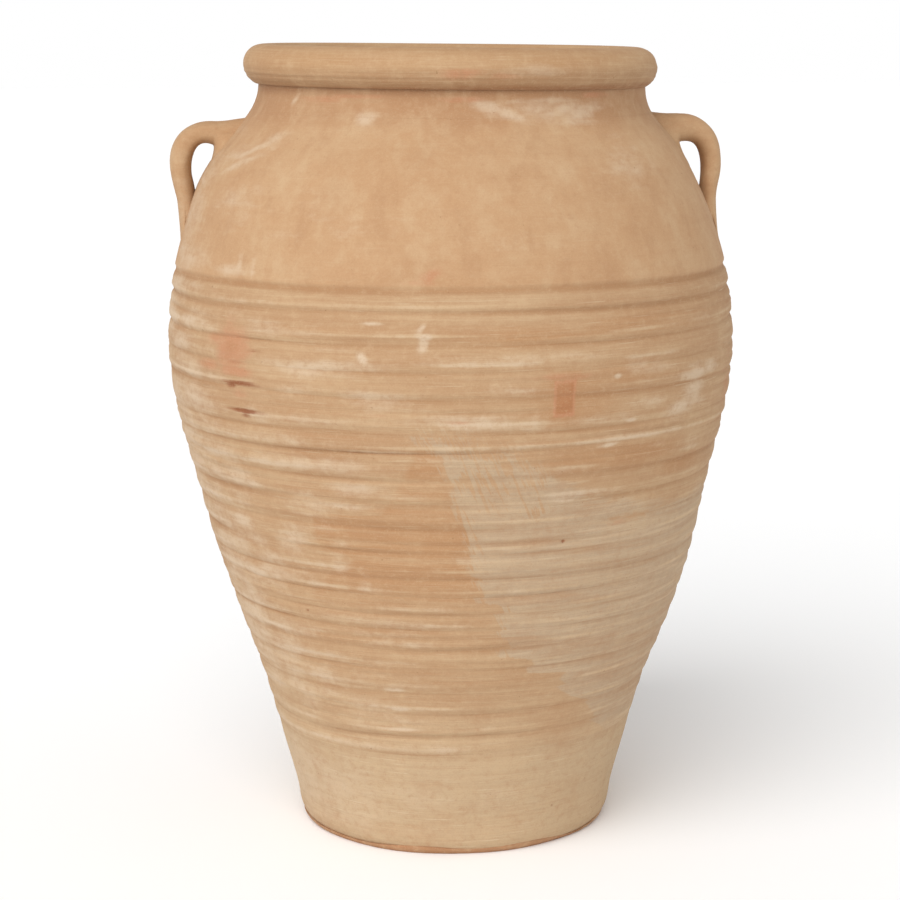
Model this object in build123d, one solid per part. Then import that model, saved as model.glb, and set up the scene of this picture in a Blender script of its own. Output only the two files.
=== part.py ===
from build123d import *

import math
import os

# Hand-thrown terracotta amphora: a big garden jar built up from thrown rings of clay, with two pulled
# handles. It stands on the ground at the origin, +Z up, with its handles on the X axis. Every size is in
# millimetres. Each section of the wall is a ring turned about Z, and the rings meet on sloping scarf
# joints, where the potter scored and slipped one stiffened section on to the next.

# The wall from the foot up to the crease under the rim: height, outer radius, level thickness.
wall_stations = [
    (26, 165.0, 23.0),
    (60, 173.0, 21.5),
    (113, 188.2, 20.0),
    (200, 217.3, 19.0),
    (287, 245.2, 18.5),
    (360, 263.1, 18.5),
    (430, 280.5, 18.5),
    (510, 290.0, 18.5),
    (581, 281.7, 19.0),
    (650, 259.0, 20.0),
    (700, 231.5, 22.0),
    (736, 203.0, 24.0),
    (752, 196.3, 24.0),
    (762, 195.3, 24.0),
]
crease_height, crease_radius, crease_thickness = wall_stations[-1]
mouth_radius = crease_radius - crease_thickness

# Scarf joints: the height where each one shows outside, from the foot up to the neck.
foot_joint = 113
lower_belly_joint = 287
middle_belly_joint = 430
girdle_joint = 581
collar_joint = 736
scarf_slope = math.tan(math.radians(22))
scarf_overshoot = 12
scarf_reach = 40

# Floor slab: a ledge at its edge carries the foot wall, and its middle plugs the foot.
ledge_height = 8
base_radius = 154
ledge_radius = 160
floor_height = 26
dish_radius = 118
dish_depth = 3
dish_slope = 6
drain_radius = 15

# Rim: a fat coil folded over the ridge of the neck collar.
rim_roll_radius = 20.5
rim_roll_centre = (188.5, 780.5)
mouth_edge_radius = 12
collar_ridge = (183, 773)
ridge_foot_height = 766

# Finger grooves left by throwing, each at its own height. The last two, the girdle, are pressed deeper.
groove_heights = [
    113, 134, 158, 182, 208, 230, 251, 269, 287, 305, 331,
    356, 380, 405, 430, 450, 483, 508, 532, 561, 581,
]
girdle_grooves = groove_heights[-2:]
groove_tool_radius = 9
groove_depth = 1.4
girdle_groove_depth = 2.4

# Handle strap: the centre line of the +X one, as distance from the axis and height.
strap_line = [
    (203, 713),
    (228, 714.5),
    (249, 715.5),
    (264, 706.5),
    (271, 689),
    (269, 668),
    (266, 648),
    (264.5, 625),
    (262, 598),
]
strap_width = 40
strap_thickness = 20.5
strap_root_width = 62
upper_root_thickness = 42
lower_root_thickness = 17
root_flare_power = 3.2
strap_oval_count = 13
handle_lifts = {"right": 2, "left": -2}

# Luting pads: clay thumbed round each root of a strap to bind it to the shoulder.
pad_centres = {"upper": (221, 711), "lower": (268, 624)}
pad_half_sizes = {"upper": (15, 41, 31), "lower": (10, 40, 34)}
pad_leans = {"upper": -34, "lower": -16}

outer_line = Spline([(radius, height) for height, radius, thickness in wall_stations])
inner_line = Spline([(radius - thickness, height) for height, radius, thickness in wall_stations])
foot_inner_radius = (inner_line @ 0).X
rim_seat = [(crease_radius, crease_height), collar_ridge, (mouth_radius, ridge_foot_height)]


def turned(outline):
    """The solid that a closed outline, drawn as radius and height, sweeps about Z."""
    return revolve(Plane.XZ * outline, axis=Axis.Z)


def outer_radius_at(height):
    low, high = 0.0, 1.0
    for _ in range(40):
        middle = (low + high) / 2
        if (outer_line @ middle).Y < height:
            low = middle
        else:
            high = middle
    return (outer_line @ low).X


def wall_outline():
    """Half the wall's section, from the floor's ledge to the ridge under the rim, with its grooves."""
    foot = Polyline(
        inner_line @ 0,
        (foot_inner_radius, ledge_height),
        (ledge_radius, ledge_height),
        outer_line @ 0,
    )
    seat = Polyline(*rim_seat, inner_line @ 1)
    outline = make_face([outer_line, inner_line, foot, seat])
    for height in groove_heights:
        depth = girdle_groove_depth if height in girdle_grooves else groove_depth
        finger_radius = outer_radius_at(height) - depth + groove_tool_radius
        outline -= Pos(finger_radius, height) * Circle(groove_tool_radius)
    return outline


def scarf(height):
    """A joint line through the wall, from outside it to inside it, rising inwards."""
    radius = outer_radius_at(height)
    return [
        (radius + scarf_overshoot, height - scarf_overshoot * scarf_slope),
        (radius - scarf_reach, height + scarf_reach * scarf_slope),
    ]


def wall_section(outline, lower_joint, upper_joint):
    """The ring of wall between two joints. A height of None means the wall's own end."""
    below = [(2 * crease_radius, 0), (0, 0)]
    above = [(2 * crease_radius, 2 * crease_height), (0, 2 * crease_height)]
    lower = scarf(lower_joint) if lower_joint else below
    upper = scarf(upper_joint) if upper_joint else above
    return turned(outline & make_face(Polyline(*lower, *reversed(upper), lower[0])))


def floor_disc():
    edge = Spline([(base_radius, 0), (ledge_radius, ledge_height)], tangents=[(1, 0.15), (0.1, 1)])
    rest = Polyline(
        (ledge_radius, ledge_height),
        (foot_inner_radius, ledge_height),
        (foot_inner_radius, floor_height),
        (drain_radius, floor_height),
        (drain_radius, dish_depth),
        (dish_radius, dish_depth),
        (dish_radius + dish_slope, 0),
        (base_radius, 0),
    )
    return turned(make_face([edge, rest]))


def rim_roll():
    centre_radius, centre_height = rim_roll_centre
    top = centre_height + rim_roll_radius
    shoulder_height = top - mouth_edge_radius
    crown_radius = mouth_radius + mouth_edge_radius
    roll = ThreePointArc(
        rim_seat[0],
        (centre_radius + rim_roll_radius, centre_height),
        (centre_radius, top),
    )
    crown = Line((centre_radius, top), (crown_radius, top))
    mouth_edge = RadiusArc((crown_radius, top), (mouth_radius, shoulder_height), -mouth_edge_radius)
    under = Polyline((mouth_radius, shoulder_height), *reversed(rim_seat))
    return turned(make_face([roll, crown, mouth_edge, under]))


def solid_jar():
    """The jar with no hollow, which trims whatever is luted on to its outside."""
    around = Polyline(outer_line @ 1, (0, crease_height), (0, floor_height), outer_line @ 0)
    return turned(make_face([outer_line, around]))


def strap(lift):
    """A whole strap on the +X side, oval in section and flared at its roots, which run into the wall."""
    path = Plane.XZ * Spline([(x, z + lift) for x, z in strap_line])
    ovals = []
    for index in range(strap_oval_count):
        along = index / (strap_oval_count - 1)
        flare = abs(2 * along - 1) ** root_flare_power
        root_thickness = upper_root_thickness if along < 0.5 else lower_root_thickness
        width = strap_width + (strap_root_width - strap_width) * flare
        thickness = strap_thickness + (root_thickness - strap_thickness) * flare
        across = Plane(origin=path @ along, x_dir=(0, 1, 0), z_dir=path % along)
        ovals.append(across * Ellipse(width / 2, thickness / 2))
    return loft(ovals)


def pad(root, lift):
    """A dome of clay over one root of a strap, leaning as the wall leans there."""
    x, z = pad_centres[root]
    dome = scale(Sphere(1), by=pad_half_sizes[root])
    return Pos(x, 0, z + lift) * Rot(0, pad_leans[root], 0) * dome


def handle(side):
    """One strap and its two pads, each trimmed to the wall and the pads to the strap."""
    lift = handle_lifts[side]
    turn = Rot(0, 0, 0 if side == "right" else 180)
    jar = solid_jar()
    whole_strap = strap(lift)
    pieces = {f"{side}_handle": turn * (whole_strap - jar)}
    for root in pad_centres:
        pieces[f"{side}_{root}_luting_pad"] = turn * (pad(root, lift) - jar - whole_strap)
    return pieces


outline = wall_outline()
pieces = {
    "floor_disc": floor_disc(),
    "foot_wall": wall_section(outline, None, foot_joint),
    "lower_belly_wall": wall_section(outline, foot_joint, lower_belly_joint),
    "middle_belly_wall": wall_section(outline, lower_belly_joint, middle_belly_joint),
    "upper_belly_wall": wall_section(outline, middle_belly_joint, girdle_joint),
    "shoulder_wall": wall_section(outline, girdle_joint, collar_joint),
    "neck_collar": wall_section(outline, collar_joint, None),
    "rim_roll": rim_roll(),
    **handle("right"),
    **handle("left"),
}

os.makedirs("parts", exist_ok=True)
for name, shape in pieces.items():
    export_step(shape, f"parts/{name}.step")
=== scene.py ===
import math

import bpy
import numpy as np
from mathutils import Euler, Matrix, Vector


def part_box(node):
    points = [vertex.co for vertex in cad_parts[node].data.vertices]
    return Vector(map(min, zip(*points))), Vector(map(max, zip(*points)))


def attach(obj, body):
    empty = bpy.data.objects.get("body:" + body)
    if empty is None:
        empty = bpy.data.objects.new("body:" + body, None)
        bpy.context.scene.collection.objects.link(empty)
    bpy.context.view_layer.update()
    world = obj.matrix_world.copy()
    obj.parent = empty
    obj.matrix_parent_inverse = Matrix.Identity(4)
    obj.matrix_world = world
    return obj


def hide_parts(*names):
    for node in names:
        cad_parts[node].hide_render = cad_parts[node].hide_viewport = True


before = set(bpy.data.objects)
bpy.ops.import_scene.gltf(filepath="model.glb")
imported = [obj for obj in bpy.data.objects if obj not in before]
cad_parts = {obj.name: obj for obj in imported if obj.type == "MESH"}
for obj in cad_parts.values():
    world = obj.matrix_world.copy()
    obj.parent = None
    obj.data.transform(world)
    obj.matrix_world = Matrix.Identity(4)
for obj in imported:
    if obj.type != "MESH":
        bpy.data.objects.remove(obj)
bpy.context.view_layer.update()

# Hand-thrown terracotta oil jar. Lengths are in millimetres and turn to metres in buildMesh. "around" is in
# degrees from the side that faces the camera, growing towards the right handle.

toMetres = 0.001
frontTurn = -4.5  # where around is 0, in degrees from -Y
frontAngle = math.radians(frontTurn)
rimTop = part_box("rim_roll")[1].z / toMetres
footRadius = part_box("floor_disc")[1].x / toMetres

seeds = {  # one for each kind of unevenness. Each ring adds its own number to the first four.
    "ringWander": 40, "ringDepth": 70, "girdleDepth": 90, "crestHighlight": 130,
    "strayPlaces": 8, "strayWander": 44, "fineLines": 5, "busyLines": 6, "wall": 3, "inside": 17,
    "rimSwell": 31, "rimLines": 32, "rimRise": 33,
    "floorEdge": 51, "floorTop": 52, "drain": 53, "dish": 54, "ledge": 55,
    "strap": 61, "upperPad": 63, "lowerPad": 64,
    "backBloom": 21, "backBlush": 22, "backWarm": 23,
}

jarShape = {
    "outside": [  # height and radius, up the middle of what the thrower's hand left
        (2, 156.5), (8, 160.5), (26, 165), (60, 173), (113, 188.2), (160, 202.5), (210, 221), (260, 237.5),
        (310, 251.4), (360, 263.1), (410, 276), (460, 286.5), (510, 290), (550, 287.1), (590, 279.8),
        (630, 267.2), (670, 249.9), (705, 227.8), (736, 203), (750, 196.9), (762, 195.2), (772, 195),
    ],
    "wall": [(0, 23), (60, 21.5), (113, 20), (287, 18.5), (510, 18.5), (650, 20), (736, 24), (801, 24)],
    "segments": 720,
    "rowHeight": 1.6,
    "insideRowHeight": 7,
    "scarfRise": 0.404,  # a joint climbs this much for each millimetre inwards
    "lean": 0.9,  # degrees that the rim dips towards the right handle
    "leanZone": (690, 760),  # the heights over which the dip comes in
    "unevenness": 0.8,
    "evenBelow": 80,
    "slump": (668, 40, 3.8),  # height, half height and depth of the left shoulder's sag outwards
    "offCentre": [  # height, and how far the ring there sits towards the right handle
        (0, 0.5), (90, 0.5), (150, 0.8), (205, 3.0), (275, 3.6), (335, 1.4), (390, 0), (640, -0.6), (705, 0),
        (752, 2.4), (801, 2.4),
    ],
}

rings = {
    "heights": [
        113, 134, 158, 182, 208, 230, 251, 269, 287, 305, 331, 356, 380, 405, 430, 450, 483, 508, 532,
        561, 581,
    ],
    "depths": [
        1.1, 1.6, 1.5, 1.5, 1.6, 1.4, 1.6, 1.6, 1.6, 1.7, 1.6, 1.6, 1.9, 1.8, 1.9, 1.6, 2.1, 2.2, 2.0,
        1.3, 1.1,
    ],
    "depthSwing": (0.8, 0.45, 0.2, 1.4),  # round the jar: mean, swing, least and most
    "shingle": 0.48,  # under 1, each ridge is fullest near its foot
    "shingleStart": 0.05,
    "sharpness": 1.7,
    "crestAt": 0.3,  # share of the way up from one ring to the next
    "crestHighlight": 2.2,  # half height of the painted highlight along a ridge's fullest part
    "crestSwing": (0.35, 0.45, 0, 0.9),
    "wander": 0.9,  # how far a ring strays up and down
    "tiltBelow": 200,  # the lowest rings run uphill towards the right handle
    "tilt": 0.9,
    "girdle": [  # tooled cuts: height, depth and half width
        (561, 1.5, 3.4), (581, 1.6, 3.8), (532, 0.6, 3.0), (508, 0.3, 2.6),
    ],
    "girdleSwing": (0.95, 0.12, 0.6, 1.2),
    "girdleSquareness": 3.2,
    "deepest": 2.2,  # a cut this deep is as dark as a cut can be, with painted shade that is partly the clay's own darker colour
    "lip": (0.4, 1.5, 1.6),  # clay raised above a cut: share of its depth, half widths up, half height
    "runOut": (13, 5),  # how far the lowest and the highest ring fade into the smooth clay
    "strays": 64,  # partial rings, where the fingers slipped between two rounds
    "straySpans": [(10, 42), (1.6, 3.4), (0.35, 1.15), (-9, 9)],  # half degrees, half height, depth, climb
    "fineLines": 0.34,
    "insidePitch": 26,
    "insideDepth": 1.3,
}


def curveThrough(points):
    # natural cubic through the points, as a function of the first coordinate
    at = np.array([p[0] for p in points], float)
    value = np.array([p[1] for p in points], float)
    step = np.diff(at)
    slope = np.diff(value) / step
    size = len(at)
    matrix = np.eye(size)
    right = np.zeros(size)
    for i in range(1, size - 1):
        matrix[i, i - 1:i + 2] = step[i - 1], 2 * (step[i - 1] + step[i]), step[i]
        right[i] = 6 * (slope[i] - slope[i - 1])
    bend = np.linalg.solve(matrix, right)

    def curve(x):
        x = np.clip(x, at[0], at[-1])
        i = np.clip(np.searchsorted(at, x) - 1, 0, size - 2)
        before, after = at[i + 1] - x, x - at[i]
        return (
            (bend[i] * before**3 + bend[i + 1] * after**3) / (6 * step[i])
            + (value[i] / step[i] - bend[i] * step[i] / 6) * before
            + (value[i + 1] / step[i] - bend[i + 1] * step[i] / 6) * after
        )

    return curve


def smoothStep(low, high, x):
    t = np.clip((x - low) / (high - low), 0, 1)
    return t * t * (3 - 2 * t)


def bell(away):
    return np.exp(-(away**2))


def drift(angle, height, seed, waves=9, aroundMost=4, shortest=150, longest=600):
    # slow random swell over the jar, about -1 to 1, that meets itself at the back
    random = np.random.default_rng(seed)
    total = np.zeros(np.broadcast(angle, height).shape)
    for _ in range(waves):
        turns = random.integers(0, aroundMost + 1)
        length = random.uniform(shortest, longest)
        total += np.cos(turns * angle + height * 2 * math.pi / length + random.uniform(0, 2 * math.pi))
    return total / math.sqrt(waves)


def swinging(angle, seed, swing, **waves):
    # a share that varies round the jar
    mean, amount, least, most = swing
    return np.clip(mean + amount * drift(angle, 0, seed, **waves), least, most)


def aroundOf(angle):
    # degrees from the front, from -180 to 180
    return (np.degrees(angle) - frontTurn + 180) % 360 - 180


def apart(first, second):
    return (first - second + 180) % 360 - 180


outsideRadius = curveThrough(jarShape["outside"])
offCentre = curveThrough(jarShape["offCentre"])
wallHeights, wallThicknesses = zip(*jarShape["wall"])


def ringHeight(index, angle):
    # the height of a ring at an angle, with its tilt and its wander
    height = rings["heights"][index]
    tilt = rings["tilt"] * smoothStep(rings["tiltBelow"], rings["heights"][0], height)
    climb = np.tan(np.radians(tilt)) * outsideRadius(height) * np.sin(angle - frontAngle)
    return height + climb + rings["wander"] * drift(angle, 0, seeds["ringWander"] + index, aroundMost=5)


def shingled(t):
    # share of the way across a ridge, hurried at its foot
    start, power = rings["shingleStart"], rings["shingle"]
    return ((t + start) ** power - start**power) / ((1 + start) ** power - start**power)


def ridgesAt(angle, height, heights):
    # clay that swells out between two rings: its relief, how deep in a ring a point is, given as painted
    # shade, and a painted highlight along its crest
    out = np.zeros(np.broadcast(angle, height).shape)
    ringTintAndShading = np.zeros_like(out)
    crestHighlight = np.zeros_like(out)
    depths = [
        depth * swinging(angle, seeds["ringDepth"] + i, rings["depthSwing"], waves=12, aroundMost=9)
        for i, depth in enumerate(rings["depths"])
    ]
    for i in range(len(heights) - 1):
        low, high = heights[i], heights[i + 1]
        inside = (height >= low) & (height < high)
        t = np.clip((height - low) / (high - low), 0, 1)
        hollow = np.abs(2 * shingled(t) - 1) ** rings["sharpness"]
        depth = depths[i] * (1 - t) + depths[i + 1] * t
        out -= np.where(inside, depth * hollow, 0)
        # painted shade in the hollow, partly the clay's own darker colour there
        ringTintAndShading = np.maximum(ringTintAndShading, np.where(inside, hollow**2 * np.minimum(depth / 2, 1) * 0.75, 0))
        # a painted highlight along the ridge's fullest part
        fullest = (t - rings["crestAt"]) * (high - low)
        bright = swinging(angle, seeds["crestHighlight"] + i, rings["crestSwing"], waves=14, aroundMost=12)
        crestHighlight += np.where(inside, bright * bell(fullest / rings["crestHighlight"]), 0)
    ends = [(height < heights[0], heights[0] - height, 0), (height >= heights[-1], height - heights[-1], -1)]
    for past, away, end in ends:
        fade = np.where(past, bell(away / rings["runOut"][end]), 0)
        out -= depths[end] * fade
        ringTintAndShading = np.maximum(ringTintAndShading, 0.4 * fade)
    return out, ringTintAndShading, crestHighlight


def girdleAt(angle, height, heights):
    # tooled cuts: their relief, and painted shade in them that is partly the clay's own darker colour
    out, ringTintAndShading = 0, 0
    rise, up, lipHalf = rings["lip"]
    for place, depth, half in rings["girdle"]:
        index = rings["heights"].index(place)
        away = height - heights[index]
        strength = swinging(angle, seeds["girdleDepth"] + index, rings["girdleSwing"])
        cut = np.exp(-(np.abs(away) / half) ** rings["girdleSquareness"]) * strength
        share = depth / rings["deepest"]
        out = out - depth * cut + rise * share * bell((away - half * up) / lipHalf)
        ringTintAndShading = np.maximum(ringTintAndShading, cut * share)
    return out, ringTintAndShading


def straysAt(angle, height, heights):
    # partial rings: their relief, and painted shade in their hollows
    random = np.random.default_rng(seeds["strayPlaces"])
    spans = [(-180, 180), (rings["heights"][0] + 8, rings["heights"][-1] - 30), *rings["straySpans"]]
    wander = 1.5 * drift(angle, 0, seeds["strayWander"], aroundMost=9)
    out, ringTintAndShading = 0, 0
    for _ in range(rings["strays"]):
        at, high, halfAround, half, depth, climb = (random.uniform(*span) for span in spans)
        side = apart(aroundOf(angle), at) / halfAround
        within = depth * np.exp(-(side**4))
        away = (height - high - climb * side * 0.5 - wander) / half
        out = out - within * (bell(away) - 0.35 * bell(away - 1.9))
        ringTintAndShading = np.maximum(ringTintAndShading, 0.5 * within * bell(away / 0.8))
    return out, ringTintAndShading


def fineLinesAt(angle, height, heights):
    # lines left by grit under the fingers, faint above and below the belly
    belly = smoothStep(-4, 4, height - heights[0]) * smoothStep(-3, 3, heights[-1] - height)
    lines = drift(angle, height, seeds["fineLines"], waves=16, aroundMost=2, shortest=5, longest=15)
    busy = 0.6 + 0.5 * drift(angle, height, seeds["busyLines"], aroundMost=3, shortest=60, longest=200)
    out = rings["fineLines"] * np.clip(busy, 0.1, 1.3) * lines * (0.15 + 0.85 * belly)
    # the second value is painted shade along the deeper lines
    return out, 0.35 * belly * np.clip(busy, 0, 1) * smoothStep(-0.5, -2.2, lines)


def reliefAt(angle, height):
    # how far the surface stands out from the plain profile, and how deep in a ring each point is, given as
    # painted shade, which a painted highlight takes below 0 along a ridge
    heights = [ringHeight(i, angle) for i in range(len(rings["heights"]))]
    out, ringTintAndShading, crestHighlight = ridgesAt(angle, height, heights)
    for kind in (girdleAt, straysAt, fineLinesAt):
        relief, dark = kind(angle, height, heights)
        out = out + relief
        ringTintAndShading = np.maximum(ringTintAndShading, dark)
    even = smoothStep(0, jarShape["evenBelow"], height)
    out = out + jarShape["unevenness"] * drift(angle, height, seeds["wall"]) * even
    return out, ringTintAndShading - crestHighlight * (1 - np.minimum(ringTintAndShading, 1))


nicks = [  # left by a tool or a nail: around, height, half length, half height, depth and redness
    (-43.6, 488.5, 4.8, 2.0, 0.7, 1.3), (-46.5, 486, 1.6, 3.6, 0.6, 1.0), (-43.4, 462, 4.6, 1.9, 0.8, 1.3),
    (-43, 458, 1.4, 3.4, 0.7, 0.9), (-39.5, 521, 3.4, 1.4, 0.5, 0.7), (-45, 508, 3, 1.4, 0.3, 0.6),
    (59, 485, 4.2, 2.4, 1.1, 0.3), (61, 503, 4, 2.2, 0.9, 0.35), (56, 457, 4, 2.4, 0.8, 0.2),
    (57, 497, 3, 2, 0.7, 0.2), (-61, 441, 2, 3, 0.5, 0.5), (24, 339, 0.5, 2, 1.6, 1.1),
    (-37, 261, 0.5, 1.6, 1.2, 0.9), (36, 44, 0.5, 1.6, 1.0, 0.8), (24, 608, 4, 1.2, 0.25, 0.25),
    (150, 430, 4, 2, 1.0, 0.6), (168, 455, 3, 2, 0.8, 0.6), (205, 300, 0.6, 2, 1.4, 1.0),
    (120, 220, 0.5, 2, 1.3, 1.0), (238, 520, 3.5, 2, 0.9, 0.6),
]


def outsidePoint(angle, height):
    # the outside surface at an angle and a height: its radius, its own height, and how deep in a ring it is,
    # as painted shade and highlight
    relief, ringTintAndShading = reliefAt(angle, height)
    around = aroundOf(angle)
    for at, high, halfAround, halfHeight, depth, _ in nicks:
        far = (apart(around, at) / halfAround) ** 2 + ((height - high) / halfHeight) ** 2
        relief = relief - depth * np.exp(-far * 1.4)
    radius = outsideRadius(height) + relief + outOfTrue(angle, height)
    return radius, height + leanAt(angle, height, radius), ringTintAndShading


def outOfTrue(angle, height):
    # how far the jar has moved out of round at its shoulder and its neck
    sideways = np.sin(angle - frontAngle)
    high, half, depth = jarShape["slump"]
    sag = depth * bell((height - high) / half) * np.maximum(-sideways, 0) ** 2
    return sag + sideways * offCentre(height)


def leanAt(angle, height, radius):
    share = smoothStep(*jarShape["leanZone"], height)
    return -math.tan(math.radians(jarShape["lean"])) * radius * np.sin(angle - frontAngle) * share


def insidePoint(angle, height):
    radius = outsideRadius(height) - np.interp(height, wallHeights, wallThicknesses)
    turns = angle / (2 * math.pi) + height / rings["insidePitch"]  # the inside rings are one long spiral
    radius = radius + rings["insideDepth"] * np.abs(np.sin(math.pi * turns)) ** 0.7
    radius = radius + 0.8 * drift(angle, height, seeds["inside"]) + outOfTrue(angle, height)
    return radius, height + leanAt(angle, height, radius)


def cylindrical(radius, angle, height):
    radius, angle, height = np.broadcast_arrays(radius, angle, height)
    return np.stack([radius * np.sin(angle), -radius * np.cos(angle), height], axis=-1)


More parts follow.
